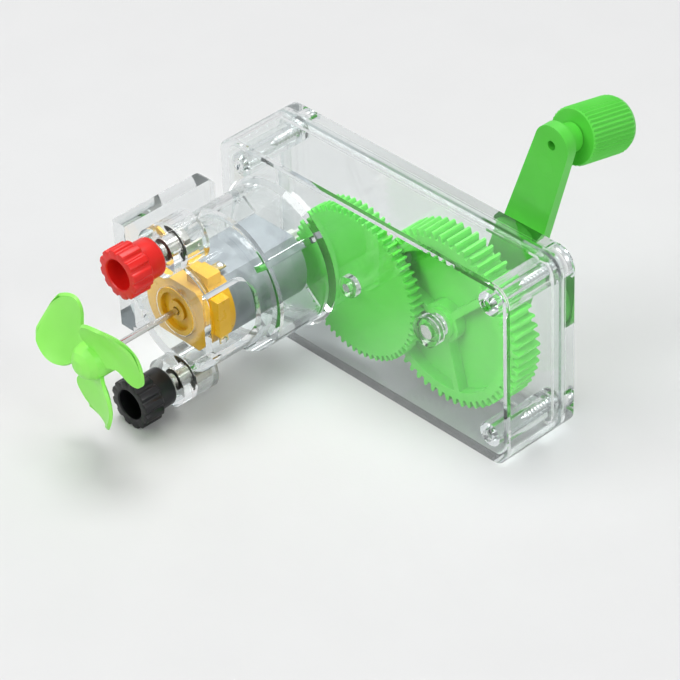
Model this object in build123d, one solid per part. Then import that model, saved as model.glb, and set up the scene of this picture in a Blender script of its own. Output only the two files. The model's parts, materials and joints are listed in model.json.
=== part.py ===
from build123d import *
import os
from math import acos, asin, cos, degrees, pi, radians, sin, sqrt, tan

# Hand crank generator: a clear moulded gearbox with a two stage gear train, a small
# motor in a clear sleeve on its front, a fan on the motor shaft, a red and a black
# binding post, and a crank with a turning knob at the back.
# Millimetres. X runs along the gearbox, Y from the motor side to the crank side, Z up.
# The origin is the middle of the gearbox's bottom face.

# Gearbox
box_depth = 28.4
box_wall = 2.5
gear_side_clearance = 1.0
gear_end_clearance = 3.6
box_corner = 6.0
cover_depth = 5.5
lip_height = 1.8
lip_thickness = 1.2
lip_clearance = 0.15
seat_gap = 0.3

# Cover screws and their tubes in the corners
screw_inset = 8.2
screw_tube_radius = 4.0
screw_radius = 1.4
screw_hole_clearance = 0.1
screw_length = 14.0
screw_head_radius = 2.8
screw_head_height = 2.0
screw_sink_depth = 2.2
tube_mouth_radius = 1.9
tube_mouth_depth = 1.0

# Gear train: crank gear to pinion, then wheel to motor pinion
coarse_module = 1.0
fine_module = 0.8
crank_teeth = 56
small_idler_teeth = 10
large_idler_teeth = 64
motor_teeth = 8
pressure_angle = 20.0
tooth_shift = 0.5
pinion_topping = 0.3
tooth_play = 0.12
crank_gear_start = 9.6
crank_gear_width = 9.4
crank_gear_rim = 2.8
crank_gear_web = 2.2
crank_gear_hub_radius = 6.5
crank_gear_rib = 2.4
crank_gear_ribs = 3
crank_gear_first_rib = 44.0
wheel_start = 5.2
wheel_width = 4.0
small_idler_end = 20.2
idler_hub_radius = 3.2
idler_axle_radius = 1.5
idler_boss_radius = 3.6
motor_pinion_start = 3.4
motor_pinion_width = 5.4

# Motor and its clear sleeve
motor_inset = 24.6
sleeve_step = 3.5
sleeve_length = 21.5
sleeve_wall = 2.5
sleeve_foot = 1.6
nose_clearance = 3.75
nose_length = 21.2
nose_wall = 2.4
panel_thickness = 2.5
panel_hole_clearance = 0.3
panel_side_margin = 0.6
window_above_axis = 12.4
window_below_axis = 9.4
window_far_gap = 4.6
window_corner = 5.0
sleeve_rib = 2.0
sleeve_rib_angles = [38.0, 142.0, 218.0, 322.0]
can_radius = 13.85
can_flat_height = 21.4
can_length = 28.5
can_setback = 2.2
can_wall = 0.8
can_nose_radius = 3.0
can_nose_length = 1.6
cap_depth = 9.4
cap_wall = 1.3
cap_boss_radius = 8.0
cap_boss_rim = 1.6
cap_boss_dish = 1.6
side_block_depth = 4.6
side_block_height = 12.6
side_block_rise = 2.8
side_block_shift = 1.6
upper_block_offset = 6.0
upper_block_depth = 5.2
upper_block_shift = 0.4
magnet_seat = 0.05
magnet_end_gap = 3.0
magnet_length = 20.0
magnet_half_angle = 52.0
core_length = 16.0
core_air_gap = 0.6
core_flat_gap = 0.5
core_shoe = 1.5
core_neck = 3.0
core_hub_radius = 3.4
coil_build = 1.5
commutator_radius = 2.4
commutator_length = 3.6
bush_radius = 2.2
bush_length = 2.0
brush_thickness = 0.4
brush_height = 3.0
terminal_width = 3.2
terminal_thickness = 0.5
terminal_length = 4.0
terminal_tail = 3.0

# Fan and motor shaft
shaft_radius = 1.0
shaft_reach = 27.0
fan_radius = 21.1
fan_hub_radius = 6.1
fan_hub_length = 11.8
fan_hub_cover = 3.0
fan_blades = 3
fan_blade_thickness = 1.1
fan_blade_root = 4.5
fan_height_step = 0.1
fan_stations = [
    # share of the way out, first and last angle, steps up to the first edge, middle and last edge
    (0.00, 123.6, 200.1, -5, 3, -5),
    (0.20, 122.1, 207.9, -14, -7, 15),
    (0.40, 118.4, 209.1, -21, -13, 31),
    (0.60, 111.3, 204.6, -24, -12, 39),
    (0.75, 111.3, 198.0, -26, -11, 44),
    (0.88, 115.5, 188.0, -27, -10, 46),
    (0.96, 124.5, 180.5, -24, -10, 42),
    (1.00, 136.0, 172.0, -19, -10, 30),
]

# Foot plate on the side of the sleeve
plate_thickness = 5.6
plate_overhang = 1.7
plate_bottom = 14.0
plate_top = 53.0
plate_back_gap = 6.4
plate_corner = 3.0
plate_bridge_height = 12.0

# Binding posts
post_boss_radius = 8.0
post_boss_reach = 5.3
post_boss_length = 14.0
post_pocket_radius = 5.2
post_pocket_depth = 7.5
stud_radius = 2.0
stud_grip = 5.8
nut_width = 7.0
nut_height = 3.0
lug_thickness = 0.6
lug_radius = 3.6
lug_width = 2.6
lug_length = 6.5
washer_radius = 4.6
washer_thickness = 0.8
knurl_radius = 8.1
knurl_length = 13.6
knurl_grooves = 12
knurl_groove_radius = 1.0
socket_radius = 5.0
socket_depth = 7.0

# Crank, arm and knob
axle_radius = 2.5
axle_flat_height = 4.0
axle_bearing_start = 3.0
axle_bearing_end = 8.4
axle_boss_radius = 5.0
cover_boss_radius = 6.0
cover_boss_height = 2.0
cover_boss_inside = 1.6
arm_stand_off = 6.1
arm_thickness = 3.5
arm_throw = 62.0
arm_lean = 18.4
arm_hub_radius = 8.6
arm_end_radius = 6.4
arm_boss_radius = 7.0
stub_radius = 4.5
stub_length = 5.0
core_hole_radius = 1.5
core_hole_depth = 5.0
spindle_radius = 2.5
knob_radius = 8.9
knob_length = 19.5
knob_recess = 4.4
knob_recess_radius = 5.0
knob_flutes = 40
knob_lean = 12.5
knob_flute_depth = 0.45
knob_round = 2.6
pan_head_radius = 3.8
pan_head_height = 2.1
pan_screw_radius = 1.25
pan_screw_length = 8.0

# Fits
running_fit = 0.05
press_fit = 0.03
knob_fit = 0.1
stud_fit = 0.06

# Sizes and places that follow from the ones above
idler_step = fine_module * (large_idler_teeth + motor_teeth) / 2
crank_step = coarse_module * (crank_teeth + small_idler_teeth) / 2
crank_tip_radius = coarse_module * (crank_teeth / 2 + 1 - tooth_shift)
box_height = 2 * (crank_tip_radius + gear_side_clearance + box_wall)
box_length = motor_inset + idler_step + crank_step + crank_tip_radius + gear_end_clearance + box_wall
nose_radius = can_radius + nose_clearance + nose_wall
sleeve_radius = nose_radius + sleeve_step
left = -box_length / 2
right = box_length / 2
front = -box_depth / 2
back = box_depth / 2
seam = back - cover_depth
motor_x = left + motor_inset
motor_z = box_height / 2
idler_x = motor_x + idler_step
crank_x = idler_x + crank_step
post_offset = motor_z - post_boss_radius
sleeve_front = front - sleeve_length
panel_front = sleeve_front - nose_length
panel_back = panel_front + panel_thickness
boss_front = panel_front - post_boss_reach
boss_back = boss_front + post_boss_length
pocket_floor = boss_back - post_pocket_depth
can_back = front - can_setback
can_front = can_back - can_length
cap_front = can_front - cap_depth
shaft_front = panel_front - shaft_reach - fan_hub_length + fan_hub_cover
fan_back = panel_front - shaft_reach
fan_front = fan_back - fan_hub_length
washer_front = boss_front - seat_gap - washer_thickness
knurl_back = washer_front - seat_gap
knurl_front = knurl_back - knurl_length
socket_floor = knurl_front + socket_depth
arm_front = back + arm_stand_off
arm_back = arm_front + arm_thickness
stub_end = arm_back + stub_length
knob_front = stub_end + seat_gap
knob_back = knob_front + knob_length
knob_shelf = knob_back - knob_recess
knob_x = crank_x + arm_throw * sin(radians(arm_lean))
knob_z = motor_z + arm_throw * cos(radians(arm_lean))
wheel_front = front + wheel_start
idler_back = seam
screw_corners = [
    (left + screw_inset, screw_inset),
    (right - screw_inset, screw_inset),
    (left + screw_inset, box_height - screw_inset),
    (right - screw_inset, box_height - screw_inset),
]


def section(y):
    """Upright drawing plane across the Y axis, with X to the right and Z up."""
    return Plane(origin=(0, y, 0), x_dir=(1, 0, 0), z_dir=(0, -1, 0))


def prism(sketch, y_start, y_end):
    """Solid of one outline between two places on the Y axis."""
    return extrude(section(y_end) * sketch, amount=y_end - y_start)


def rod(x, z, radius, y_start, y_end):
    """Round bar along Y."""
    return prism(Pos(x, z) * Circle(radius), y_start, y_end)


def turned(x, z, profile):
    """Solid turned about an axis along Y, from (radius, y) points."""
    points = [(x + radius, y) for radius, y in profile]
    outline = make_face(Plane.XY.offset(z) * Polyline(*points, close=True))
    return revolve(outline, Axis((x, 0, z), (0, 1, 0)))


def rounded_block(length, height, corner):
    """Gearbox outline standing on Z = 0, less an even margin all round."""
    return Pos(0, box_height / 2) * RectangleRounded(length, height, corner)


def box_outline(margin):
    """Outline of the gearbox drawn in by a margin."""
    corner = max(box_corner - margin, 0.8)
    return rounded_block(box_length - 2 * margin, box_height - 2 * margin, corner)


def polar(radius, angle):
    """Point at a radius and an angle in degrees."""
    return (radius * cos(radians(angle)), radius * sin(radians(angle)))


def involute(angle):
    """Involute function of an angle in radians."""
    return tan(angle) - angle


def gear_outline(teeth, module, shift, first_tooth, topping=0.0):
    """Spur gear outline with involute flanks and one tooth centred on first_tooth."""
    pitch_radius = module * teeth / 2
    base_radius = pitch_radius * cos(radians(pressure_angle))
    tip_radius = pitch_radius + module * (1 + shift - topping)
    root_radius = pitch_radius - module * (1.25 - shift)
    flank_start = max(root_radius, base_radius)
    tooth_arc = pi * module / 2 + 2 * shift * module * tan(radians(pressure_angle)) - tooth_play
    pitch_half = tooth_arc / 2 / pitch_radius

    def half_angle(radius):
        """Half of the tooth's angle at a radius, in degrees."""
        turn = involute(radians(pressure_angle)) - involute(acos(min(1.0, base_radius / radius)))
        return degrees(pitch_half + turn)

    radii = [flank_start, (flank_start + tip_radius) / 2, tip_radius]
    edges = []
    previous = None
    first = None
    for tooth in range(teeth):
        middle = first_tooth + 360 * tooth / teeth
        rise = [polar(r, middle - half_angle(r)) for r in radii]
        fall = [polar(r, middle + half_angle(r)) for r in reversed(radii)]
        root_in = polar(root_radius, middle - half_angle(flank_start))
        root_out = polar(root_radius, middle + half_angle(flank_start))
        if previous is None:
            first = root_in
        else:
            edges.append(Line(previous, root_in))
        if base_radius > root_radius:
            edges.append(Line(root_in, rise[0]))
        else:
            if previous is None:
                first = rise[0]
        edges.append(ThreePointArc(*rise))
        edges.append(Line(rise[2], fall[0]))
        edges.append(ThreePointArc(*fall))
        if base_radius > root_radius:
            edges.append(Line(fall[2], root_out))
            previous = root_out
        else:
            previous = fall[2]
    edges.append(Line(previous, first))
    return make_face(edges)


def motor_outline(margin):
    """Round motor section with two flats, drawn in by a margin."""
    round_part = Circle(can_radius - margin)
    flats = Rectangle(3 * can_radius, can_flat_height - 2 * margin)
    return Pos(motor_x, motor_z) * (round_part & flats)


def sleeve():
    """Clear motor sleeve: wide part, narrower nose with a side window, end panel."""
    wide = rod(motor_x, motor_z, sleeve_radius, sleeve_front, front + box_wall / 2)
    nose = rod(motor_x, motor_z, nose_radius, panel_front, sleeve_front + box_wall)
    foot = turned(motor_x, motor_z, [
        (sleeve_radius - 1, front + box_wall / 2),
        (sleeve_radius - 1, front - sleeve_foot),
        (sleeve_radius, front - sleeve_foot),
        (sleeve_radius + sleeve_foot, front),
        (sleeve_radius + sleeve_foot, front + box_wall / 2),
    ])
    bosses = [rod(motor_x, motor_z + side * post_offset, post_boss_radius, boss_front, boss_back)
              for side in (1, -1)]
    body = wide + nose + foot
    for boss in bosses:
        body += boss
    plate_x = left - plate_overhang
    plate_end = front - plate_back_gap
    plate_height = plate_top - plate_bottom
    plate = Pos(plate_x + plate_thickness / 2, (panel_front + plate_end) / 2,
                (plate_top + plate_bottom) / 2) * Box(plate_thickness, plate_end - panel_front, plate_height)
    top_back = plate.edges().filter_by(Axis.X).sort_by(Axis.Z)[-2:].sort_by(Axis.Y)[-1]
    plate = fillet(top_back, plate_corner)
    bridge_x = plate_x + plate_thickness / 2
    bridge = prism(Pos((bridge_x + motor_x - nose_radius + nose_wall / 2) / 2, motor_z)
                   * Rectangle(motor_x - nose_radius + nose_wall / 2 - bridge_x, plate_bridge_height),
                   panel_front, sleeve_front)
    gusset = prism(make_face(Polyline(
        (plate_x + plate_thickness / 2, plate_bottom + 1),
        (plate_x + plate_thickness / 2, motor_z),
        (motor_x - nose_radius + nose_wall, motor_z),
        (motor_x - nose_radius * 0.62, motor_z - nose_radius * 0.7), close=True)), panel_front, panel_back)
    return body + plate + bridge + gusset


def sleeve_hollow():
    """Space for the motor inside the sleeve, with the panel's hole and the window."""
    wide = rod(motor_x, motor_z, sleeve_radius - sleeve_wall, sleeve_front + sleeve_wall, front)
    nose = rod(motor_x, motor_z, nose_radius - nose_wall, panel_back, front)
    hole = rod(motor_x, motor_z, cap_boss_radius + panel_hole_clearance, panel_front - 1, panel_back + 1)
    shaft_way = rod(motor_x, motor_z, can_nose_radius + panel_hole_clearance, front - 1, front + box_wall + 1)
    window_back = sleeve_front - window_far_gap
    window_side = motor_x + can_radius - panel_side_margin
    window_out = motor_x + nose_radius + 1
    window = Pos((window_side + window_out) / 2, (panel_front - 1 + window_back) / 2,
                 motor_z + (window_above_axis - window_below_axis) / 2) * Box(
        window_out - window_side, window_back - panel_front + 1, window_above_axis + window_below_axis)
    far_edges = window.edges().filter_by(Axis.X).sort_by(Axis.Y)[-2:]
    window = fillet(far_edges, window_corner)
    vent_points = [polar(0.94 * nose_radius, 203), polar(0.76 * nose_radius, 208), polar(0.98 * nose_radius, 214)]
    vent = prism(Pos(motor_x, motor_z) * make_face(Polyline(*vent_points, close=True)), panel_front - 1, panel_back)
    return wide + nose + hole + shaft_way + window + vent


def front_shell():
    """Clear front half of the gearbox, moulded in one piece with the motor sleeve."""
    body = prism(box_outline(0), front, seam)
    body += sleeve()
    body -= prism(box_outline(box_wall), front + box_wall, seam + 1)
    body -= sleeve_hollow()
    for angle in sleeve_rib_angles:
        start = can_radius + seat_gap
        end = sleeve_radius - sleeve_wall / 2
        rib = Pos((start + end) / 2, 0) * Rectangle(end - start, sleeve_rib)
        body += prism(Pos(motor_x, motor_z) * Rot(0, 0, angle) * rib, sleeve_front + sleeve_wall / 2, front + 1)
    for x, z in screw_corners:
        body += rod(x, z, screw_tube_radius, front + box_wall / 2, seam)
        body -= rod(x, z, screw_radius + screw_hole_clearance, front - 1, seam + 1)
        body -= rod(x, z, tube_mouth_radius, front - 1, front + tube_mouth_depth)
    body += rod(crank_x, motor_z, axle_boss_radius, front + box_wall / 2, front + axle_bearing_end - 2.5)
    body += rod(crank_x, motor_z, axle_boss_radius - 1.2, front + box_wall / 2, front + axle_bearing_end)
    body -= rod(crank_x, motor_z, axle_radius + running_fit, front + axle_bearing_start, seam)
    body += rod(idler_x, motor_z, idler_boss_radius, front + box_wall / 2, wheel_front - seat_gap)
    body -= rod(idler_x, motor_z, idler_axle_radius + press_fit, front + box_wall / 2, seam)
    for side in (1, -1):
        body -= rod(motor_x, motor_z + side * post_offset, stud_radius + press_fit, boss_front - 1, boss_back + 1)
        body -= rod(motor_x, motor_z + side * post_offset, post_pocket_radius, pocket_floor, boss_back + 1)
    return body


def rear_cover():
    """Clear back half of the gearbox with its locating lip, screw seats and bearings."""
    body = prism(box_outline(0), seam, back)
    body -= prism(box_outline(box_wall), seam - 1, back - box_wall)
    outer = box_outline(box_wall + lip_clearance)
    inner = box_outline(box_wall + lip_clearance + lip_thickness)
    lip = prism(outer, seam - lip_height, back - box_wall / 2)
    lip -= prism(inner, seam - lip_height - 1, back - box_wall)
    body += lip
    for x, z in screw_corners:
        body += rod(x, z, screw_tube_radius, seam, back - box_wall / 2)
        body -= rod(x, z, screw_radius + screw_hole_clearance, seam - 1, back + 1)
        body -= rod(x, z, screw_head_radius + screw_hole_clearance, back - screw_sink_depth, back + 1)
    inside = back - box_wall - cover_boss_inside
    body += rod(crank_x, motor_z, cover_boss_radius, inside, back + cover_boss_height)
    body -= rod(crank_x, motor_z, axle_radius + running_fit, inside - 1, back + cover_boss_height + 1)
    body += rod(idler_x, motor_z, idler_boss_radius, idler_back, back - box_wall / 2)
    body -= rod(idler_x, motor_z, idler_axle_radius + press_fit, idler_back - 1, back - box_wall / 2)
    return body


def cross_recess(x, z, face, depth, direction):
    """Cross slot pressed into a screw head."""
    across = Rectangle(3.0, 0.7) + Rectangle(0.7, 3.0)
    start, end = sorted((face - direction * depth, face + direction))
    return prism(Pos(x, z) * across, start, end)


def cover_screws():
    """Four self-tapping screws that hold the cover."""
    seat = back - screw_sink_depth
    screws = []
    for x, z in screw_corners:
        screw = rod(x, z, screw_head_radius, seat, seat + screw_head_height)
        screw += rod(x, z, screw_radius, seat - screw_length + 2, seat)
        tip = seat - screw_length
        screw += turned(x, z, [(0, tip), (0.2, tip), (screw_radius, tip + 2), (0, tip + 2)])
        screw -= cross_recess(x, z, seat + screw_head_height, 1.0, 1)
        screws.append(screw)
    return screws


def crank_gear():
    """Large driving gear: deep toothed rim, thin web, three ribs and a hub."""
    start = front + crank_gear_start
    end = start + crank_gear_width
    facing = 180 + 180 / crank_teeth
    root_radius = coarse_module * (crank_teeth / 2 - 1.25 - tooth_shift)
    rim_inside = root_radius - crank_gear_rim
    middle = (start + end) / 2
    body = prism(gear_outline(crank_teeth, coarse_module, -tooth_shift, facing), start, end)
    pocket = Circle(rim_inside) - Circle(crank_gear_hub_radius)
    rib = Pos((rim_inside + crank_gear_hub_radius) / 2, 0) * Rectangle(rim_inside, crank_gear_rib)
    for index in range(crank_gear_ribs):
        pocket -= Rot(0, 0, crank_gear_first_rib + 360 * index / crank_gear_ribs) * rib
    body -= prism(pocket, start - 1, middle - crank_gear_web / 2)
    body -= prism(pocket, middle + crank_gear_web / 2, end + 1)
    hub_start = front + axle_bearing_end + seat_gap
    hub_end = back - box_wall - cover_boss_inside - seat_gap
    body += rod(0, 0, crank_gear_hub_radius - 1.5, hub_start, start + 1)
    body += rod(0, 0, crank_gear_hub_radius, end - 1, hub_end)
    body -= rod(0, 0, axle_radius + press_fit, hub_start - 1, hub_end + 1)
    return Pos(crank_x, 0, motor_z) * body


def idler_gear():
    """Compound gear: plain toothed wheel in front and a small pinion behind it."""
    wheel_end = wheel_front + wheel_width
    facing = 180 + 180 / large_idler_teeth
    body = prism(gear_outline(large_idler_teeth, fine_module, -tooth_shift, facing), wheel_front, wheel_end)
    pinion = gear_outline(small_idler_teeth, coarse_module, tooth_shift, 0, pinion_topping)
    body += prism(pinion, wheel_end - 1, front + small_idler_end)
    body += rod(0, 0, idler_hub_radius, front + small_idler_end - 1, idler_back - seat_gap)
    body -= rod(0, 0, idler_axle_radius + running_fit, wheel_front - 1, idler_back + 1)
    return Pos(idler_x, 0, motor_z) * body


def motor_pinion():
    """Small pinion pressed on the motor shaft."""
    start = front + motor_pinion_start
    end = start + motor_pinion_width
    body = prism(gear_outline(motor_teeth, fine_module, tooth_shift, 0, pinion_topping), start, end)
    body -= rod(0, 0, shaft_radius + press_fit, start - 1, end + 1)
    return Pos(motor_x, 0, motor_z) * body


def idler_axle():
    """Steel pin held in the two halves of the gearbox."""
    start = front + box_wall / 2 + seat_gap
    return rod(idler_x, motor_z, idler_axle_radius, start, back - box_wall / 2 - seat_gap)


def crank_axle():
    """Steel crank axle with two flats in the arm and a threaded hole in its end."""
    start = front + axle_bearing_start + seat_gap
    flat_start = back + cover_boss_height + seat_gap
    body = rod(crank_x, motor_z, axle_radius, start, flat_start)
    body += prism(Pos(crank_x, motor_z) * (Circle(axle_radius) & Rectangle(9, axle_flat_height)),
                  flat_start, arm_back)
    body -= rod(crank_x, motor_z, pan_screw_radius + press_fit, arm_back - pan_screw_length - 1, arm_back + 1)
    return body


def arm_outline():
    """Tapered arm from the axle to the knob, tangent to both rounded ends."""
    slope = degrees(asin((arm_hub_radius - arm_end_radius) / arm_throw))
    hub_side = polar(arm_hub_radius, 90 - slope)
    end_side = polar(arm_end_radius, 90 - slope)
    shape = make_face(Polyline(
        hub_side, (arm_throw + end_side[0], end_side[1]),
        (arm_throw + end_side[0], -end_side[1]), (hub_side[0], -hub_side[1]), close=True))
    shape += Circle(arm_hub_radius)
    shape += Pos(arm_throw, 0) * Circle(arm_end_radius)
    return Pos(crank_x, motor_z) * Rot(0, 0, 90 - arm_lean) * shape


def leaned(shape):
    """Leans the stub, spindle, knob and knob screw down about the arm's end."""
    pivot = Axis((knob_x, arm_back, knob_z), (1, 0, 0))
    return shape.rotate(pivot, -knob_lean)


def crank_arm():
    """Moulded arm with its hub, the stub and the spindle for the knob."""
    body = prism(arm_outline(), arm_front, arm_back)
    hub_start = back + cover_boss_height + seat_gap
    body += rod(crank_x, motor_z, arm_boss_radius, hub_start, arm_back)
    body -= prism(Pos(crank_x, motor_z) * (Circle(axle_radius + press_fit)
                  & Rectangle(9, axle_flat_height + 2 * press_fit)), hub_start - 1, arm_back + 1)
    stub = rod(knob_x, knob_z, stub_radius, arm_back - arm_thickness / 2, stub_end)
    stub += rod(knob_x, knob_z, spindle_radius, stub_end - 1, knob_shelf + seat_gap)
    stub -= rod(knob_x, knob_z, pan_screw_radius + press_fit,
                knob_shelf + seat_gap - pan_screw_length - 1, knob_shelf + 2)
    body += leaned(stub)
    body -= rod(knob_x, knob_z, core_hole_radius, arm_front - 1, arm_front + core_hole_depth)
    return body


def pan_screw(x, z, face):
    """Pan head screw driven towards the front, with its head on a face."""
    screw = rod(x, z, pan_screw_radius, face - pan_screw_length, face)
    head = turned(x, z, [
        (0, face), (pan_head_radius, face), (pan_head_radius, face + pan_head_height * 0.5),
        (pan_head_radius * 0.72, face + pan_head_height), (0, face + pan_head_height)])
    screw += head
    return screw - cross_recess(x, z, face + pan_head_height, 1.2, 1)


def knob():
    """Round knob with fine flutes and a rounded end, free on its spindle."""
    points = []
    for index in range(2 * knob_flutes):
        radius = knob_radius if index % 2 == 0 else knob_radius - knob_flute_depth
        points.append(polar(radius, 180 * index / knob_flutes))
    flutes = Pos(knob_x, knob_z) * make_face(Polyline(*points, close=True))
    body = prism(flutes, knob_front, knob_back)
    blank = turned(knob_x, knob_z, [
        (0, knob_front), (knob_radius - 0.6, knob_front), (knob_radius, knob_front + 0.6),
        (knob_radius, knob_back - knob_round),
        (knob_radius - 0.3 * knob_round, knob_back - 0.3 * knob_round),
        (knob_radius - knob_round, knob_back), (0, knob_back)])
    body = body & blank
    body -= rod(knob_x, knob_z, spindle_radius + knob_fit, knob_front - 1, knob_back)
    body -= rod(knob_x, knob_z, knob_recess_radius, knob_shelf, knob_back + 1)
    return leaned(body)


def motor_can():
    """Drawn steel can with two flats, closed at the gear end round the bearing."""
    body = prism(motor_outline(0), can_front, can_back)
    body += rod(motor_x, motor_z, can_nose_radius, can_back - 0.5, can_back + can_nose_length)
    body -= prism(motor_outline(can_wall), can_front - 1, can_back - can_wall)
    body -= rod(motor_x, motor_z, bush_radius + press_fit, can_back - can_wall - 1, can_back + can_nose_length - 0.5)
    body -= rod(motor_x, motor_z, shaft_radius + 0.4, can_back, can_back + can_nose_length + 1)
    return body


def motor_end_cap():
    """Moulded end cap with a dished boss, two brush blocks and the bearing seat."""
    body = prism(motor_outline(0), cap_front, can_front)
    body -= prism(motor_outline(cap_wall), cap_front + 2 * cap_wall, can_front + 1)
    body += rod(motor_x, motor_z, cap_boss_radius, panel_front, cap_front + 1)
    side = Pos(motor_x + can_radius + 0.6, (cap_front + can_front) / 2 - side_block_shift,
               motor_z + side_block_rise)
    body += side * Box(3.4, side_block_depth, side_block_height)
    upper = Pos(motor_x + upper_block_offset, (cap_front + can_front) / 2 + upper_block_shift,
                motor_z + can_flat_height / 2 + 1.2)
    body += upper * Box(7.0, upper_block_depth, 3.4)
    body -= rod(motor_x, motor_z, cap_boss_radius - cap_boss_rim, panel_front - 1, panel_front + cap_boss_dish)
    body += rod(motor_x, motor_z, bush_radius + 1.2, panel_front + 0.6, panel_front + cap_boss_dish + 1)
    slot = Pos(motor_x + 4.8, panel_front + cap_boss_dish, motor_z) * Box(1.0, 1.6, 5.0)
    body -= slot
    bush_end = panel_front + 1.2 + bush_length
    body -= rod(motor_x, motor_z, bush_radius + press_fit, panel_front + 1.2, bush_end + 6)
    body -= rod(motor_x, motor_z, shaft_radius + 0.4, panel_front - 1, panel_front + 2)
    return body


def motor_bushes():
    """Two sintered bearings for the motor shaft."""
    rear = rod(motor_x, motor_z, bush_radius, can_back + can_nose_length - 0.5 - bush_length,
               can_back + can_nose_length - 0.5)
    fore = rod(motor_x, motor_z, bush_radius, panel_front + 1.2, panel_front + 1.2 + bush_length)
    bore = rod(motor_x, motor_z, shaft_radius + running_fit, panel_front - 5, front + 5)
    return [rear - bore, fore - bore]


def motor_magnets():
    """Two curved ferrite magnets inside the can's round sides."""
    outer = can_radius - can_wall - magnet_seat
    ring = Circle(outer) - Circle(armature_radius() + core_air_gap)
    reach = 2 * can_radius
    half = radians(magnet_half_angle)
    wedge = make_face(Polyline((0, 0), (reach * cos(half), reach * sin(half)),
                               (reach * cos(half), -reach * sin(half)), close=True))
    arc = (ring & wedge) & Rectangle(4 * can_radius, can_flat_height - 2 * can_wall - 2 * magnet_seat)
    start = can_back - can_wall - magnet_end_gap - magnet_length
    magnets = []
    for turn in (0, 180):
        magnets.append(prism(Pos(motor_x, motor_z) * Rot(0, 0, turn) * arc, start, start + magnet_length))
    return magnets


def core_place():
    """Start of the armature core along Y, in the middle of the magnets."""
    return can_back - can_wall - magnet_end_gap - magnet_length / 2 - core_length / 2


def armature_radius():
    """Outer radius of the armature core, clear of the can's two flats."""
    return can_flat_height / 2 - can_wall - core_flat_gap


def armature_core():
    """Three pole laminated core pressed on the shaft."""
    radius = armature_radius()
    shape = Circle(core_hub_radius)
    for index in range(3):
        turn = Rot(0, 0, 90 + 120 * index)
        shape += turn * (Pos(radius / 2, 0) * Rectangle(radius, core_neck))
        spread = radians(48)
        wedge = make_face(Polyline((0, 0), (2 * radius * cos(spread), 2 * radius * sin(spread)),
                                   (2 * radius * cos(spread), -2 * radius * sin(spread)), close=True))
        shape += turn * ((Circle(radius) - Circle(radius - core_shoe)) & wedge)
    shape = shape & Circle(radius)
    shape -= Circle(shaft_radius + press_fit)
    return prism(Pos(motor_x, motor_z) * shape, core_place(), core_place() + core_length)


def armature_windings():
    """Three copper coils, one round each neck of the core."""
    inner = core_hub_radius + 1.6
    outer = sqrt((armature_radius() - core_shoe) ** 2 - (core_neck / 2 + coil_build) ** 2) - 0.2
    coils = []
    for index in range(3):
        ring = Box(outer - inner, core_length + 2 * coil_build, core_neck + 2 * coil_build)
        ring -= Box(outer - inner + 1, core_length + 0.1, core_neck + 0.1)
        placed = Pos((inner + outer) / 2, core_place() + core_length / 2, 0) * ring
        coils.append(Pos(motor_x, 0, motor_z) * Rot(0, -90 - 120 * index, 0) * placed)
    return coils


def commutator():
    """Commutator on the shaft beside the core."""
    end = core_place() - coil_build - 0.6
    body = rod(motor_x, motor_z, commutator_radius, end - commutator_length, end)
    return body - rod(motor_x, motor_z, shaft_radius + press_fit, end - commutator_length - 1, end + 1)


def motor_brushes():
    """Two sprung copper brush strips, one on each side of the commutator."""
    end = core_place() - coil_build - 0.6
    gap = commutator_radius + 0.1
    length = can_flat_height / 2 - cap_wall - 0.3
    brushes = []
    for side in (1, -1):
        strip = Box(brush_thickness, commutator_length - 0.6, length + brush_height)
        place = Pos(motor_x + side * (gap + brush_thickness / 2), end - commutator_length / 2,
                    motor_z + (length - brush_height) / 2)
        brushes.append(place * strip)
    return brushes


def motor_terminals():
    """Two brass tabs, one on each brush block."""
    low = Pos(motor_x + can_radius + 1.2, (cap_front + can_front) / 2 - side_block_shift,
              motor_z + side_block_rise - side_block_height / 2 - terminal_tail / 2)
    high = Pos(motor_x + upper_block_offset,
               (cap_front + can_front) / 2 + upper_block_shift + upper_block_depth / 2 + terminal_length / 2,
               motor_z + can_flat_height / 2 + 1.8)
    return [low * Box(terminal_thickness, terminal_width, terminal_tail),
            high * Box(terminal_width, terminal_length, terminal_thickness)]


def motor_shaft():
    """Steel shaft from the fan, through the motor, to the pinion."""
    return rod(motor_x, motor_z, shaft_radius, shaft_front, front + motor_pinion_start + motor_pinion_width)


def fan_blade():
    """One blade about the fan's axis: a curved sheet, drawn at stations from root to tip."""
    rows = []
    for share, first, last, low, middle, high in fan_stations:
        radius = fan_blade_root + share * (fan_radius - fan_blade_root)
        row = []
        for step in range(5):
            across = step / 4
            bow = 1 - (2 * across - 1) ** 2
            height = low + (high - low) * across + (middle - (low + high) / 2) * bow
            angle = radians(first + (last - first) * across)
            row.append(Vector(radius * cos(angle), radius * sin(angle), fan_height_step * height))
        rows.append(row)
    sheet = Face.make_surface_from_array_of_points(rows, tol=0.05)
    return thicken(sheet, amount=fan_blade_thickness / 2, both=True)


def fan():
    """Three broad bowed blades on a hub with a domed front, pushed onto the shaft."""
    middle = (fan_back + fan_front) / 2
    upright = Pos(motor_x, middle, motor_z) * Rot(90, 0, 0) * fan_blade()
    dome = fan_hub_radius
    hub = turned(motor_x, motor_z, [
        (0, fan_back), (dome - 0.8, fan_back), (dome, fan_back - 0.8), (dome, fan_front + dome),
        (0.92 * dome, fan_front + 0.62 * dome), (0.71 * dome, fan_front + 0.29 * dome),
        (0.38 * dome, fan_front + 0.08 * dome), (0, fan_front)])
    body = hub
    for index in range(fan_blades):
        axis = Axis((motor_x, 0, motor_z), (0, 1, 0))
        body += upright.rotate(axis, 360 * index / fan_blades)
    return body - rod(motor_x, motor_z, shaft_radius + press_fit, shaft_front, fan_back + 1)


def post_place(side):
    """Height of a binding post's axis."""
    return motor_z + side * post_offset


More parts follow.
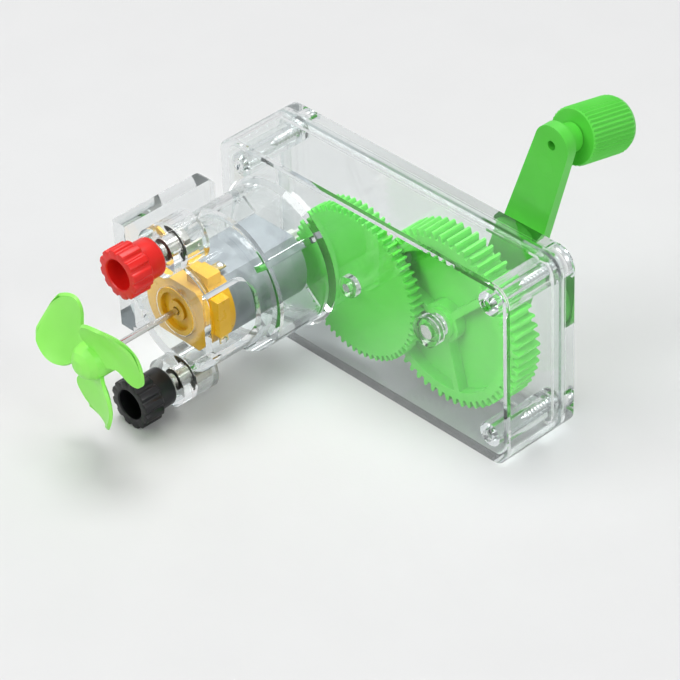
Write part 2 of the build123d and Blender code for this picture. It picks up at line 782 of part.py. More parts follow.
def stud(side):
    """Threaded brass stud of a binding post."""
    rear = pocket_floor + lug_thickness + nut_height + 1.0
    return rod(motor_x, post_place(side), stud_radius, knurl_back - stud_grip, rear)


def post_nuts():
    """Two hexagon nuts in the pockets of the bosses."""
    nuts = []
    for side in (1, -1):
        start = pocket_floor + lug_thickness
        hexagon = Pos(motor_x, post_place(side)) * RegularPolygon(nut_width / 2, 6, major_radius=False, rotation=30)
        nut = prism(hexagon, start, start + nut_height)
        nuts.append(nut - rod(motor_x, post_place(side), stud_radius + press_fit, start - 1, start + nut_height + 1))
    return nuts


def post_lugs():
    """Two solder lugs under the nuts, each with a tail bent towards the motor."""
    lugs = []
    for side in (1, -1):
        z = post_place(side)
        ring = Circle(lug_radius) - Circle(stud_radius + press_fit)
        reach = post_pocket_radius - seat_gap
        tab_start = lug_radius - 1
        ring += Pos((tab_start + reach) / 2, 0) * Rectangle(reach - tab_start, lug_width)
        lug = prism(Pos(motor_x, z) * ring, pocket_floor, pocket_floor + lug_thickness)
        tail = Pos(motor_x + reach - lug_thickness / 2, pocket_floor + lug_length / 2, z)
        tail = tail * Box(lug_thickness, lug_length, lug_width)
        hole = Pos(motor_x + reach, pocket_floor + lug_length - 1.4, z) * Rot(0, 90, 0) * Cylinder(0.6, 2)
        lugs.append(lug + tail - hole)
    return lugs


def post_washer(side):
    """Flat washer that travels with the cap."""
    shape = Circle(washer_radius) - Circle(stud_radius + stud_fit)
    return prism(Pos(motor_x, post_place(side)) * shape, washer_front, washer_front + washer_thickness)


def post_cap(side):
    """Fluted cap with a deep socket in front, screwed on the stud."""
    outline = Circle(knurl_radius)
    for spot in PolarLocations(knurl_radius + 0.35, knurl_grooves):
        outline -= spot * Circle(knurl_groove_radius)
    body = prism(outline, knurl_front, knurl_back)
    body = body & turned(0, 0, [
        (0, knurl_front), (knurl_radius - 0.9, knurl_front), (knurl_radius, knurl_front + 0.9),
        (knurl_radius, knurl_back - 1.2), (knurl_radius - 1.2, knurl_back), (0, knurl_back)])
    body -= rod(0, 0, socket_radius, knurl_front - 1, socket_floor)
    body -= rod(0, 0, stud_radius + stud_fit, knurl_front, knurl_back + 1)
    return Pos(motor_x, 0, post_place(side)) * body


nodes = {
    "front_shell": front_shell(),
    "rear_cover": rear_cover(),
    "cover_screws": cover_screws(),
    "crank_gear": crank_gear(),
    "crank_axle": crank_axle(),
    "crank_arm": crank_arm(),
    "crank_screw": pan_screw(crank_x, motor_z, arm_back + 0.05),
    "knob_screw": leaned(pan_screw(knob_x, knob_z, knob_shelf + seat_gap)),
    "knob": knob(),
    "idler_gear": idler_gear(),
    "idler_axle": idler_axle(),
    "motor_pinion": motor_pinion(),
    "motor_can": motor_can(),
    "motor_end_cap": motor_end_cap(),
    "motor_bushes": motor_bushes(),
    "motor_magnets": motor_magnets(),
    "armature_core": armature_core(),
    "armature_windings": armature_windings(),
    "commutator": commutator(),
    "motor_brushes": motor_brushes(),
    "motor_terminals": motor_terminals(),
    "motor_shaft": motor_shaft(),
    "fan": fan(),
    "red_stud": stud(1),
    "black_stud": stud(-1),
    "post_nuts": post_nuts(),
    "post_lugs": post_lugs(),
    "red_washer": post_washer(1),
    "black_washer": post_washer(-1),
    "red_cap": post_cap(1),
    "black_cap": post_cap(-1),
}

os.makedirs("parts", exist_ok=True)
for name, shape in nodes.items():
    pieces = shape if isinstance(shape, list) else [shape]
    solids = [solid for piece in pieces for solid in piece.solids()]
    whole = solids[0] if len(solids) == 1 else Compound(children=solids)
    export_step(whole, "parts/" + name + ".step")
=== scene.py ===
import json
from math import cos, pi, radians, sin

import bmesh
import bpy
from mathutils import Matrix, Vector


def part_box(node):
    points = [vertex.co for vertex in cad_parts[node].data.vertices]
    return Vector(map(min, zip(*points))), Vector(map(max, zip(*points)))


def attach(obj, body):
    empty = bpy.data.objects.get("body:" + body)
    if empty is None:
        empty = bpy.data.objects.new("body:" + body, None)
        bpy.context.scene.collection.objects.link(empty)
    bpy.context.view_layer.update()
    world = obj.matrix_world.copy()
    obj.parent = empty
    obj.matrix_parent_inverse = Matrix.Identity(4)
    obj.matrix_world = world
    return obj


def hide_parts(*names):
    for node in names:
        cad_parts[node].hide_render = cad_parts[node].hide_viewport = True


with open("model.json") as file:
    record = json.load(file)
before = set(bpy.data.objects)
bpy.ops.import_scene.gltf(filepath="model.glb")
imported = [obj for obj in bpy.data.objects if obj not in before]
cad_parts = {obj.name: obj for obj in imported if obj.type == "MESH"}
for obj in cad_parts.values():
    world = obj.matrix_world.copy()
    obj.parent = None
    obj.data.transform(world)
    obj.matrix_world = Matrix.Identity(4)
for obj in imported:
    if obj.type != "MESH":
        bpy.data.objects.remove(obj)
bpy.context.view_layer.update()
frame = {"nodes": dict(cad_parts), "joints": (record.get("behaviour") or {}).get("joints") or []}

node = frame["nodes"]


# The photographer's set: a wide pale paper floor under a plain soft studio light, with the
# camera high at the front right corner, where the photograph was taken from.
class Wire:
    """An output of a shader node. Python's operators add the nodes that do the sum."""

    def __init__(self, tree, socket=None):
        self.tree, self.socket = tree, socket

    def add(self, kind, settings=None, inputs=None, output=0):
        made = self.tree.nodes.new(kind)
        for name, value in (settings or {}).items():
            setattr(made, name, value)
        for name, value in (inputs or {}).items():
            if isinstance(value, Wire):
                self.tree.links.new(value.socket, made.inputs[name])
            else:
                made.inputs[name].default_value = value
        return Wire(self.tree, made.outputs[output])

    def beside(self, name):
        """Another output of the node that this one comes from."""
        return Wire(self.tree, self.socket.node.outputs[name])

    def math(self, operation, first, second=0.0):
        return self.add("ShaderNodeMath", {"operation": operation}, {0: first, 1: second})

    def vector(self, operation, first, second, output=0):
        return self.add("ShaderNodeVectorMath", {"operation": operation},
                        {0: first, 1: second}, output)

    def __add__(self, other): return self.math("ADD", self, other)
    def __radd__(self, other): return self.math("ADD", other, self)
    def __sub__(self, other): return self.math("SUBTRACT", self, other)
    def __rsub__(self, other): return self.math("SUBTRACT", other, self)
    def __mul__(self, other): return self.math("MULTIPLY", self, other)
    def __rmul__(self, other): return self.math("MULTIPLY", other, self)

    def place(self):
        """The point on the piece, in the part's own space."""
        return self.add("ShaderNodeTexCoord", output="Object")

    def noise(self, scale, detail=3.0, stretch=(1, 1, 1)):
        """Even noise from 0 to 1 over the piece, with scale in waves per metre."""
        return self.add("ShaderNodeTexNoise", {}, {
            "Vector": self.vector("MULTIPLY", self.place(), stretch),
            "Scale": scale, "Detail": detail})

    def between(self, mask, low, high):
        """Colour that goes from low to high with a mask."""
        return self.add("ShaderNodeMix", {"data_type": "RGBA"},
                        {0: mask, 6: (*low, 1), 7: (*high, 1)}, 2)

    def near(self, centre, weights, radius, soft):
        """1 inside a round mark at a point in millimetres, 0 outside.
        An axis of weight 0 is left free."""
        offset = self.vector("SUBTRACT", self.place(), [c / 1000 for c in centre])
        offset = self.vector("MULTIPLY", offset, weights)
        away = self.add("ShaderNodeVectorMath", {"operation": "LENGTH"}, {0: offset}, "Value")
        return self.add("ShaderNodeMapRange", {"interpolation_type": "SMOOTHSTEP"}, {
            "Value": away,
            "From Min": (radius - soft) / 1000, "From Max": (radius + soft) / 1000,
            "To Min": 1.0, "To Max": 0.0})

    def bump(self, height, strength, distance):
        return self.add("ShaderNodeBump", {}, {
            "Height": height, "Strength": strength, "Distance": distance})


def finish_of(name, build):
    """New material: build gives the Principled shader's inputs from a Wire on its tree."""
    material = bpy.data.materials.new(name)
    material.use_nodes = True
    tree = material.node_tree
    shader = tree.nodes["Principled BSDF"]
    for socket, value in build(Wire(tree)).items():
        if isinstance(value, Wire):
            tree.links.new(value.socket, shader.inputs[socket])
        else:
            shader.inputs[socket].default_value = value
    return material


def paint(material, *names):
    """Gives CAD nodes their material."""
    for name in names:
        node[name].data.materials.clear()
        node[name].data.materials.append(material)


def mesh_piece(name, vertices, faces, material, smooth=30):
    """Object from plain lists in millimetres of the part's frame, shaded smooth up to an angle."""
    mesh = bpy.data.meshes.new(name)
    mesh.from_pydata([[c / 1000 for c in v] for v in vertices], [], faces)
    made = bpy.data.objects.new(name, mesh)
    bpy.context.scene.collection.objects.link(made)
    mesh.materials.append(material)
    mesh.shade_smooth()
    mesh.set_sharp_from_angle(angle=radians(smooth))
    return made


paper = finish_of("studio_paper", lambda w: {
    "Base Color": w.between(w.noise(35, 4), (0.64, 0.64, 0.635), (0.67, 0.67, 0.665)),
    "Roughness": 0.9,
    "Specular IOR Level": 0.15,
    "Normal": w.bump(w.noise(900, 2), 0.05, 0.0004)})
floor_reach = 4000
floor = mesh_piece("studio_floor", [
    (-floor_reach, -floor_reach, 0), (floor_reach, -floor_reach, 0),
    (floor_reach, floor_reach, 0), (-floor_reach, floor_reach, 0)], [(0, 1, 2, 3)], paper)

fill_light, seen_backdrop = (0.34, 0.345, 0.36), (0.80, 0.805, 0.81)
room = bpy.data.worlds.new("studio_room")
bpy.context.scene.world = room
room.use_nodes = True
rays = Wire(room.node_tree).add("ShaderNodeLightPath")
looks = rays
for output in ("Is Glossy Ray", "Is Transmission Ray"):
    looks = looks.math("MAXIMUM", looks, rays.beside(output))
backdrop = room.node_tree.nodes["Background"]
room.node_tree.links.new(
    rays.between(looks, fill_light, seen_backdrop).socket, backdrop.inputs["Color"])
backdrop.inputs["Strength"].default_value = 1.0

lamp_target = (0, 0, 0.03)
lamp_shape = 0.7
for name, place, width, power in (("key_softbox", (-0.25, -1.25, 1.05), 0.9, 11.5),
                                  ("side_softbox", (1.30, -0.20, 0.75), 0.7, 7.0),
                                  ("top_softbox", (-0.30, 0.30, 1.45), 0.8, 14.0)):
    lamp = bpy.data.lights.new(name, "AREA")
    lamp.shape, lamp.size, lamp.size_y, lamp.energy = "RECTANGLE", width, width * lamp_shape, power
    held = bpy.data.objects.new(name, lamp)
    bpy.context.scene.collection.objects.link(held)
    held.location = place
    held.rotation_euler = (Vector(lamp_target) - Vector(place)).to_track_quat("-Z", "Y").to_euler()

camera_place = (0.5960, -0.5670, 0.6256)
turn, rise, roll = radians(47.635), radians(36.823), radians(-2.549)
away = Vector((sin(turn) * cos(rise), -cos(turn) * cos(rise), sin(rise)))
across = Vector((cos(turn), sin(turn), 0))
upward = away.cross(across)
across, upward = (across * cos(roll) + upward * sin(roll),
                  upward * cos(roll) - across * sin(roll))
lens = bpy.data.cameras.new("photo_camera")
lens.lens, lens.sensor_width, lens.clip_start, lens.clip_end = 178.0, 36.0, 0.05, 30.0
camera = bpy.data.objects.new("photo_camera", lens)
bpy.context.scene.collection.objects.link(camera)
camera.matrix_world = (Matrix.Translation(camera_place)
                       @ Matrix((across, upward, away)).transposed().to_4x4())
bpy.context.scene.camera = camera
bpy.context.scene.view_settings.view_transform = "Standard"


# The two halves of the gearbox: crystal clear moulded styrene, polished outside, with faint
# flow lines from the mould. The front half runs on into the motor sleeve, the foot plate and
# the end panel, which keeps two round marks of the mould's ejector pins.
panel_inner_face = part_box("front_shell")[0].x * 1000 + 5.6
panel_pin_marks = [(panel_inner_face, -36.4, 52.0), (panel_inner_face, -36.4, 14.0)]
panel_pin_radius, panel_pin_edge, panel_pin_height = 0.9, 0.25, 2.5


def clear_shades(w):
    flow = w.noise(38, 2, (1, 1, 0.35))
    fine = w.noise(420, 3)
    pins = [w.near(place, (1, 1, 1), panel_pin_radius, panel_pin_edge)
            for place in panel_pin_marks]
    return {
        "Base Color": w.between(fine, (0.925, 0.945, 0.945), (0.955, 0.968, 0.966)),
        "Roughness": 0.012 + 0.05 * w.math("POWER", w.noise(150, 4), 3.0),
        "IOR": 1.53,
        "Transmission Weight": 1.0,
        "Normal": w.bump(flow + 0.12 * fine + panel_pin_height * pins[0]
                         + panel_pin_height * pins[1], 0.10, 0.0006)}


clear_plastic = finish_of("clear_styrene", clear_shades)
tree = clear_plastic.node_tree
light_path = Wire(tree).add("ShaderNodeLightPath", output="Is Shadow Ray")
trapped = [light_path.math("GREATER_THAN", light_path.beside(name), limit)
           for name, limit in (("Glossy Depth", 1.5), ("Ray Depth", 7.5))]
passes = light_path.math("MAXIMUM", light_path, light_path.math("MAXIMUM", *trapped))
see_through = light_path.add("ShaderNodeBsdfTransparent", {}, {"Color": (0.95, 0.965, 0.965, 1)})
surface = light_path.add("ShaderNodeMixShader", {}, {
    0: passes, 1: Wire(tree, tree.nodes["Principled BSDF"].outputs[0]), 2: see_through})
tree.links.new(surface.socket, tree.nodes["Material Output"].inputs["Surface"])
paint(clear_plastic, "front_shell", "rear_cover")


# Four self-tapping screws that hold the cover from behind. Their bright threads show through
# the clear tubes in the corners. Headed and rolled from steel wire, zinc plated, with a
# pressed cross slot.
def ring_points(radius, z, around):
    """One level ring of points about Z."""
    return [(radius * cos(2 * pi * step / around), radius * sin(2 * pi * step / around), z)
            for step in range(around)]


def swept_thread(radius, depth, pitch, length, taper, around=28):
    """Helical screw thread along Z from 0 down to -length, its tip narrowed over taper."""
    rows_per_turn, tip_share, flank_slope = 8, 0.12, 3.2
    rows = int(length / pitch * rows_per_turn) + 1
    vertices, faces = [], []
    for row in range(rows):
        z = -length * row / (rows - 1)
        left = min(1.0, (length + z) / taper + tip_share) if taper else 1.0
        for step in range(around):
            phase = (z / pitch - step / around) % 1.0
            height = max(0.0, 1.0 - abs(phase - 0.5) * flank_slope)
            r = (radius - depth + depth * height) * left
            angle = 2 * pi * step / around
            vertices.append((r * cos(angle), r * sin(angle), z))
    for row in range(rows - 1):
        for step in range(around):
            a, b = row * around + step, row * around + (step + 1) % around
            faces.append((a, b, b + around, a + around))
    faces.append(tuple(range(around)))
    faces.append(tuple(reversed(range((rows - 1) * around, rows * around))))
    return vertices, faces


def lathe(profile, around=40):
    """Closed turned form about Z from (radius, z) points, first and last on the axis."""
    vertices = [(0, 0, profile[0][1])]
    for radius, z in profile[1:-1]:
        vertices += ring_points(radius, z, around)
    vertices.append((0, 0, profile[-1][1]))
    last = len(vertices) - 1
    faces = [(0, 1 + (i + 1) % around, 1 + i) for i in range(around)]
    for ring in range(len(profile) - 3):
        base = 1 + ring * around
        for i in range(around):
            a, b = base + i, base + (i + 1) % around
            faces.append((a, b, b + around, a + around))
    base = last - around
    faces += [(base + i, base + (i + 1) % around, last) for i in range(around)]
    return vertices, faces


def cross_slot(half_width, reach, top, depth):
    """Tapered cross that is cut into a screw's head."""
    floor_share, overshoot = 0.55, 1
    corners = ((-1, -1), (1, -1), (1, 1), (-1, 1))
    sides = ((3, 2, 1, 0), (4, 5, 6, 7), (0, 1, 5, 4), (1, 2, 6, 5), (2, 3, 7, 6), (3, 0, 4, 7))
    vertices, faces = [], []
    for along, across in ((reach, half_width), (half_width, reach)):
        start = len(vertices)
        for z, share in ((top - depth, floor_share), (top + overshoot, 1.0)):
            vertices += [(x * along * share, y * across * share, z) for x, y in corners]
        faces += [tuple(start + i for i in side) for side in sides]
    return vertices, faces


def cut_away(body, tool):
    """Takes the tool's shape out of the body and drops the tool."""
    cut = body.modifiers.new("cut", "BOOLEAN")
    cut.object, cut.operation, cut.use_self = tool, "DIFFERENCE", True
    view = bpy.context.evaluated_depsgraph_get()
    done = bpy.data.meshes.new_from_object(body.evaluated_get(view))
    body.modifiers.clear()
    body.data = done
    done.set_sharp_from_angle(angle=radians(30))
    bpy.data.objects.remove(tool)


def joined(first, *others):
    """One object out of several, kept under the first one's name."""
    with bpy.context.temp_override(active_object=first,
                                   selected_editable_objects=[first, *others]):
        bpy.ops.object.join()
    return first


def screw(name, material, head, thread, slot):
    """Screw with its seat at the origin and its head up along Z."""
    top = mesh_piece(name, *lathe(head), material)
    cut_away(top, mesh_piece(name + "_tool", *cross_slot(**slot), material))
    return joined(top, mesh_piece(name + "_thread", *swept_thread(**thread), material, 50))


def stand(piece, place, axis=(0, 1, 0)):
    """Moves a finished piece from the origin to its place, with its Z along the axis."""
    turned = Vector((0, 0, 1)).rotation_difference(Vector(axis)).to_matrix().to_4x4()
    piece.data.transform(Matrix.Translation(Vector(place)) @ turned)
    piece.data.update()
    return piece


zinc = finish_of("zinc_plate", lambda w: {
    "Base Color": w.between(w.noise(700, 3), (0.60, 0.60, 0.60), (0.78, 0.78, 0.77)),
    "Metallic": 1.0,
    "Roughness": 0.20 + 0.22 * w.noise(500, 4),
    "Normal": w.bump(w.noise(1500, 2), 0.08, 0.0001)})
corner_head_radius, corner_head_height = 2.8, 2.0
corner_head = [(0, 0), (2.2, 0), (corner_head_radius, 0.35), (corner_head_radius, 1.25),
               (2.55, 1.75), (2.1, 1.98), (0, corner_head_height)]
corner_thread = {"radius": 1.4, "depth": 0.36, "pitch": 1.25, "length": 14.0, "taper": 2.2}
corner_slot = {"half_width": 0.36, "reach": 1.55, "top": corner_head_height, "depth": 1.1}
low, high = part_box("cover_screws")
inset = corner_head_radius / 1000
corner_screws = []
for x in (low.x + inset, high.x - inset):
    for z in (low.z + inset, high.z - inset):
        one = screw("cover_screws_threaded", zinc, corner_head, corner_thread, corner_slot)
        corner_screws.append(stand(one, (x, high.y - corner_head_height / 1000, z)))
corner_screws = joined(*corner_screws)
corner_screws.name = "cover_screws_threaded"
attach(corner_screws, "housing")
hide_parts("cover_screws")


# The gear train: soft green moulded gears with fine flow marks in the faces and a slightly
# paler sheen where the plastic is thin, and a small white pinion on the motor's shaft.
def green_shades(w):
    return {
        "Base Color": w.between(w.noise(90, 3), (0.070, 0.53, 0.036), (0.100, 0.63, 0.055)),
        "Roughness": 0.30 + 0.16 * w.noise(260, 4),
        "Subsurface Weight": 0.12,
        "Subsurface Radius": (0.0006, 0.0016, 0.0005),
        "Subsurface Scale": 1.0,
        "Normal": w.bump(w.noise(1100, 3), 0.06, 0.0002)}


green_plastic = finish_of("green_moulding", green_shades)
paint(green_plastic, "crank_gear", "idler_gear")
paint(finish_of("white_pinion", lambda w: {
    "Base Color": w.between(w.noise(400, 3), (0.72, 0.71, 0.66), (0.80, 0.79, 0.74)),
    "Roughness": 0.35 + 0.15 * w.noise(300, 3),
    "Normal": w.bump(w.noise(1400, 2), 0.05, 0.0002)}), "motor_pinion")


# The steel pins that the gears and the motor turn with or on: ground bright bar, with faint
# rings round it from the wheel.
bright_steel = finish_of("ground_steel", lambda w: {
    "Base Color": w.between(w.noise(240, 3, (1, 8, 1)), (0.66, 0.65, 0.64), (0.80, 0.79, 0.78)),
    "Metallic": 1.0,
    "Roughness": 0.16 + 0.14 * w.noise(300, 3, (1, 9, 1)),
    "Normal": w.bump(w.noise(500, 2, (1, 9, 1)), 0.05, 0.0001)})
paint(bright_steel, "crank_axle", "idler_axle", "motor_shaft")


# The motor's can: deep drawn steel, zinc plated, with a cloudy spangle and faint drawing lines
# along the can.
def can_shades(w):
    spangle = w.add("ShaderNodeTexVoronoi", {}, {"Vector": w.place(), "Scale": 260.0}, "Color")
    spangle = w.add("ShaderNodeSeparateColor", {}, {"Color": spangle})
    drawn = w.noise(300, 3, (6, 0.6, 6))
    mask = 0.55 * spangle + 0.45 * w.noise(60, 3)
    return {
        "Base Color": w.between(mask, (0.27, 0.295, 0.315), (0.39, 0.415, 0.435)),
        "Metallic": 1.0,
        "Roughness": 0.40 + 0.16 * mask,
        "Normal": w.bump(drawn + 0.4 * spangle, 0.06, 0.0001)}


paint(finish_of("zinc_plated_can", can_shades), "motor_can")


# The motor's end cap: a glossy amber yellow moulding pressed into the can's mouth, with the
# two brush blocks standing out of it.
paint(finish_of("amber_moulding", lambda w: {
    "Base Color": w.between(w.noise(180, 3), (0.62, 0.32, 0.006), (0.78, 0.455, 0.016)),
    "Roughness": 0.22 + 0.14 * w.noise(300, 3),
    "Subsurface Weight": 0.10,
    "Subsurface Radius": (0.0012, 0.0007, 0.0002),
    "Subsurface Scale": 1.0,
    "Normal": w.bump(w.noise(900, 2), 0.05, 0.0002)}), "motor_end_cap")


# Inside the motor: dull ground ferrite magnets, a stack of stamped steel sheets, enamelled
# copper coils, a barred commutator with sprung copper brushes, and sintered bronze bushes.
paint(finish_of("ground_ferrite", lambda w: {
    "Base Color": w.between(w.noise(900, 4), (0.045, 0.045, 0.048), (0.10, 0.10, 0.105)),
    "Roughness": 0.62 + 0.2 * w.noise(600, 3),
    "Normal": w.bump(w.noise(2200, 3), 0.25, 0.0002)}), "motor_magnets")


def sheet_shades(w):
    rows = w.add("ShaderNodeTexWave", {"bands_direction": "Y"}, {
        "Vector": w.place(), "Scale": 320.0, "Distortion": 0.2}).beside("Fac")
    return {
        "Base Color": w.between(rows, (0.20, 0.20, 0.21), (0.46, 0.47, 0.49)),
        "Metallic": 1.0,
        "Roughness": 0.42 + 0.12 * w.noise(400, 2),
        "Normal": w.bump(rows, 0.35, 0.0003)}


paint(finish_of("stamped_sheets", sheet_shades), "armature_core")


def coil_shades(w):
    turns = w.add("ShaderNodeTexWave", {"bands_direction": "DIAGONAL"}, {
        "Vector": w.place(), "Scale": 700.0, "Distortion": 1.4, "Detail": 2.0}).beside("Fac")
    return {
        "Base Color": w.between(turns, (0.40, 0.13, 0.05), (0.86, 0.40, 0.20)),
        "Metallic": 1.0,
        "Roughness": 0.28 + 0.10 * w.noise(300, 2),
        "Coat Weight": 0.5,
        "Normal": w.bump(turns, 0.5, 0.0003)}


paint(finish_of("enamelled_wire", coil_shades), "armature_windings")
bare_copper = finish_of("bare_copper", lambda w: {
    "Base Color": w.between(w.noise(500, 4), (0.62, 0.27, 0.13), (0.88, 0.48, 0.30)),
    "Metallic": 1.0,
    "Roughness": 0.25 + 0.2 * w.noise(400, 3),
    "Normal": w.bump(w.noise(900, 2, (1, 6, 1)), 0.08, 0.0001)})
paint(bare_copper, "commutator", "motor_brushes")
paint(finish_of("sintered_bronze", lambda w: {
    "Base Color": w.between(w.noise(1800, 4), (0.30, 0.20, 0.09), (0.62, 0.44, 0.22)),
    "Metallic": 1.0,
    "Roughness": 0.5 + 0.2 * w.noise(900, 3),
    "Normal": w.bump(w.noise(2600, 3), 0.3, 0.0002)}), "motor_bushes")


# The motor's terminals: two stamped brass tabs that stand out of the end cap, each with an
# uneven drop of tin solder round its tip.
brass = finish_of("bright_brass", lambda w: {
    "Base Color": w.between(w.noise(260, 4), (0.62, 0.45, 0.16), (0.86, 0.68, 0.33)),
    "Metallic": 1.0,
    "Roughness": 0.2 + 0.2 * w.noise(420, 3),
    "Normal": w.bump(w.noise(1300, 2), 0.06, 0.0001)})
paint(brass, "motor_terminals")
solder = finish_of("tin_solder", lambda w: {
    "Base Color": w.between(w.noise(900, 3), (0.52, 0.52, 0.51), (0.74, 0.74, 0.72)),
    "Metallic": 1.0,
    "Roughness": 0.22 + 0.25 * w.noise(700, 4),
    "Normal": w.bump(w.noise(1500, 3), 0.2, 0.0002)})


def solder_drop(name, place, size):
    """Uneven drop of solder round a terminal's tip, with its place and size in millimetres."""
    work = bmesh.new()
    bmesh.ops.create_icosphere(work, subdivisions=4, radius=1.0)
    for vertex in work.verts:
        x, y, z = vertex.co
        swell = 1 + 0.10 * sin(3 * x + 1) * cos(4 * z) + 0.07 * sin(5 * y + 2 * x)
        vertex.co = Vector((x * size[0], y * size[1], z * size[2])) * swell
    vertices = [tuple(v.co) for v in work.verts]
    faces = [tuple(v.index for v in face.verts) for face in work.faces]
    work.free()
    drop = mesh_piece(name, vertices, faces, solder, 180)
    drop.data.transform(Matrix.Translation([c / 1000 for c in place]))
    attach(drop, "housing")


low, high = [corner * 1000 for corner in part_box("motor_terminals")]
solder_drop("solder_low", (high.x - 0.25, low.y + 1.6, low.z + 0.7), (0.9, 1.3, 1.2))
solder_drop("solder_high", (low.x + 1.6, high.y - 0.9, high.z - 0.25), (1.3, 1.1, 0.8))


# The fan: a light green soft moulding with three bowed blades, pushed on the motor's shaft by
# its domed hub.
paint(finish_of("pale_green_moulding", lambda w: {
    "Base Color": w.between(w.noise(70, 3), (0.25, 0.76, 0.095), (0.31, 0.84, 0.140)),
    "Roughness": 0.34 + 0.14 * w.noise(300, 3),
    "Subsurface Weight": 0.15,
    "Subsurface Radius": (0.0010, 0.0024, 0.0008),
    "Subsurface Scale": 1.0,
    "Normal": w.bump(w.noise(900, 3), 0.05, 0.0002)}), "fan")


# The two binding posts: a nickel plated threaded stud held through the boss, a hexagon nut and
# a tinned lug that hold it from behind, and a nickel washer in front.
nickel = finish_of("nickel_plate", lambda w: {
    "Base Color": w.between(w.noise(300, 3), (0.66, 0.65, 0.61), (0.80, 0.79, 0.75)),
    "Metallic": 1.0,
    "Roughness": 0.14 + 0.18 * w.noise(350, 3),
    "Normal": w.bump(w.noise(1300, 2), 0.05, 0.0001)})
for colour in ("red", "black"):
    low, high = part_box(colour + "_stud")
    threaded = mesh_piece(colour + "_stud_threaded", *swept_thread(
        radius=2.0, depth=0.34, pitch=0.7, length=(high.y - low.y) * 1000, taper=0,
        around=32), nickel, 50)
    stand(threaded, ((low.x + high.x) / 2, high.y, (low.z + high.z) / 2))
    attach(threaded, "housing")
    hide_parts(colour + "_stud")

paint(nickel, "red_washer", "black_washer")
paint(finish_of("tinned_brass", lambda w: {
    "Base Color": w.between(w.noise(500, 3), (0.60, 0.57, 0.50), (0.76, 0.74, 0.68)),
    "Metallic": 1.0,
    "Roughness": 0.25 + 0.2 * w.noise(600, 3),
    "Normal": w.bump(w.noise(1300, 2), 0.08, 0.0001)}), "post_lugs")


def closed_rings(rows, around):
    """Faces that join rings of points in turn, and the last ring to the first."""
    faces = []
    for row in range(rows):
        for step in range(around):
            a, b = row * around + step, row * around + (step + 1) % around
            c = (row + 1) % rows * around
            faces.append((a, b, c + (step + 1) % around, c + step))
    return faces


def hexagon_nut(across, bore, height, around=72):
    """Nut about Z from 0 to height, with its corners rounded off on both faces."""
    face_radius = across / 2 * 0.97
    rows = [(0.0, "bore"), (0.0, "face"), (0.12, "edge"), (0.88, "edge"), (1.0, "face"),
            (1.0, "bore")]
    vertices = []
    for share, place in rows:
        for step in range(around):
            angle = 2 * pi * step / around
            flat = across / 2 / cos((angle % (pi / 3)) - pi / 6)
            r = {"bore": bore, "face": min(flat, face_radius), "edge": flat}[place]
            vertices.append((r * cos(angle), r * sin(angle), share * height))
    return vertices, closed_rings(len(rows), around)


low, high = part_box("post_nuts")
half_corners = (high.x - low.x) / 2 / cos(pi / 6)
nuts = []
for z in (low.z + half_corners, high.z - half_corners):
    one = mesh_piece("post_nuts_chamfered", *hexagon_nut(across=7.0, bore=2.05, height=3.0),
                     nickel)
    one.data.transform(Matrix.Rotation(radians(90), 4, "Z"))
    nuts.append(stand(one, ((low.x + high.x) / 2, low.y, z)))
nuts = joined(*nuts)
nuts.name = "post_nuts_chamfered"
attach(nuts, "housing")
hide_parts("post_nuts")


# The post caps: glossy red and black mouldings that screw along the studs. A smooth collar lies
# against the washer, and twelve ribs run out through the rim of the deep socket in front.
def ribbed_cap(length, rib_radius, groove_depth, collar_radius, collar_length,
               socket_radius, socket_depth, bore, ribs=12, around=192):
    """Cap about Z from 0 at its back, with its socket open at z = length."""
    groove_edge, groove_flank = 0.58, 0.46
    socket_floor = length - socket_depth
    rows = [(bore, 0.0, False), (collar_radius - 0.7, 0.0, False),
            (collar_radius - 0.2, 0.2, False), (collar_radius, 0.7, False),
            (collar_radius, collar_length, False), (collar_radius + 0.15, collar_length, False),
            (rib_radius - 0.35, collar_length + 0.1, True),
            (rib_radius, collar_length + 0.45, True), (rib_radius, length - 0.35, True),
            (rib_radius - 0.1, length - 0.1, True), (rib_radius - 0.4, length, True),
            (socket_radius + 0.35, length, False), (socket_radius, length - 0.35, False),
            (socket_radius, socket_floor, False), (bore, socket_floor, False)]
    vertices = []
    for radius, z, ribbed in rows:
        for step in range(around):
            from_groove = abs((step * ribs / around + 0.5) % 1 - 0.5) * 2
            share = min(1.0, max(0.0, (groove_edge - from_groove) / groove_flank))
            r = radius - ribbed * groove_depth * share * share * (3 - 2 * share)
            angle = 2 * pi * step / around
            vertices.append((r * cos(angle), r * sin(angle), z))
    return vertices, closed_rings(len(rows), around)


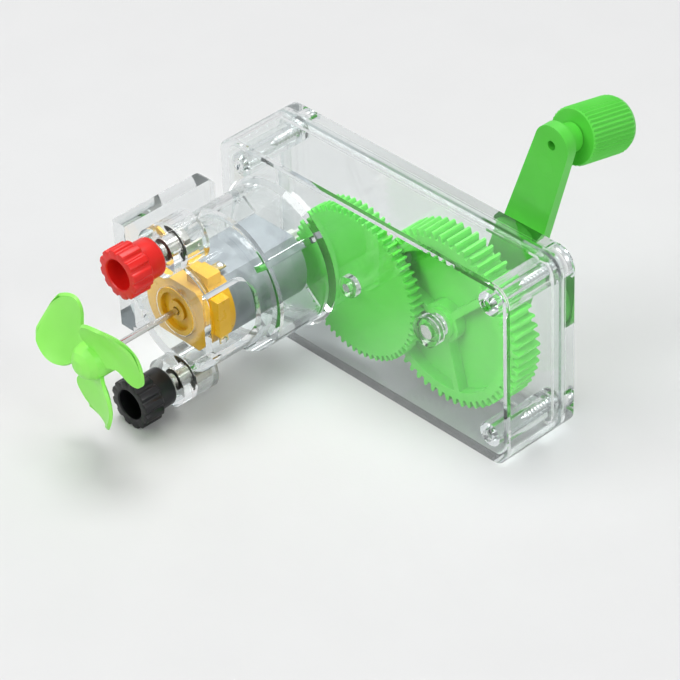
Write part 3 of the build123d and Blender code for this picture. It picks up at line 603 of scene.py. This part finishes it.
for colour, dark, light in (("red", (0.62, 0.008, 0.006), (0.80, 0.018, 0.012)),
                            ("black", (0.005, 0.005, 0.006), (0.012, 0.012, 0.014))):
    moulding = finish_of(colour + "_moulding", lambda w: {
        "Base Color": w.between(w.noise(160, 3), dark, light),
        "Roughness": 0.26 + 0.16 * w.noise(330, 3),
        "Specular IOR Level": 0.35,
        "Normal": w.bump(w.noise(1000, 3), 0.06, 0.0002)})
    low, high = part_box(colour + "_cap")
    cap = mesh_piece(colour + "_cap_ribbed", *ribbed_cap(
        length=(high.y - low.y) * 1000, rib_radius=8.1, groove_depth=0.75,
        collar_radius=6.3, collar_length=6.3, socket_radius=5.0, socket_depth=7.0,
        bore=2.06), moulding, 35)
    stand(cap, ((low.x + high.x) / 2, high.y, (low.z + high.z) / 2), (0, -1, 0))
    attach(cap, colour + "_post")
    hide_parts(colour + "_cap")


# The crank: a green moulded arm held by a pan head screw on the axle's flats, and a fluted
# knob that turns on the arm's leaning spindle, held by a second screw inside its end. The
# arm's front keeps the ring of an ejector pin.
paint(green_plastic, "knob")
arm_pin_centre = (42.67, 20.3, 82.76)
arm_pin_outer, arm_pin_inner, arm_pin_edge = 3.3, 2.95, 0.12


def arm_shades(w):
    shades = green_shades(w)
    outer, inner = [w.near(arm_pin_centre, (1, 0, 1), radius, arm_pin_edge)
                    for radius in (arm_pin_outer, arm_pin_inner)]
    ring = outer - inner
    shades["Normal"] = w.bump(w.noise(1100, 3) + 4.0 * ring, 0.10, 0.0002)
    return shades


paint(finish_of("green_moulding_with_pin_mark", arm_shades), "crank_arm")
pan_head_height = 2.1
pan_head = [(0, 0), (3.5, 0), (3.8, 0.25), (3.8, 0.9), (3.45, 1.45), (2.8, 1.88),
            (1.9, 2.07), (0, pan_head_height)]
pan_thread = {"radius": 1.25, "depth": 0.32, "pitch": 1.1, "length": 7.9, "taper": 1.5}
pan_slot = {"half_width": 0.42, "reach": 1.7, "top": pan_head_height, "depth": 1.2}
knob_lean = [joint["axis"] for joint in frame["joints"] if joint["name"] == "knob_spin"][0]
for name, axis in (("crank_screw", Vector((0, 1, 0))),
                   ("knob_screw", Vector(knob_lean).normalized())):
    top = max(vertex.co.dot(axis) for vertex in node[name].data.vertices)
    low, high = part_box(name)
    centre = (low + high) / 2
    seat = centre + axis * (top - pan_head_height / 1000 - centre.dot(axis))
    one = screw(name + "_pan_head", zinc, pan_head, pan_thread, pan_slot)
    stand(one, seat, axis)
    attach(one, "crank")
    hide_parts(name)
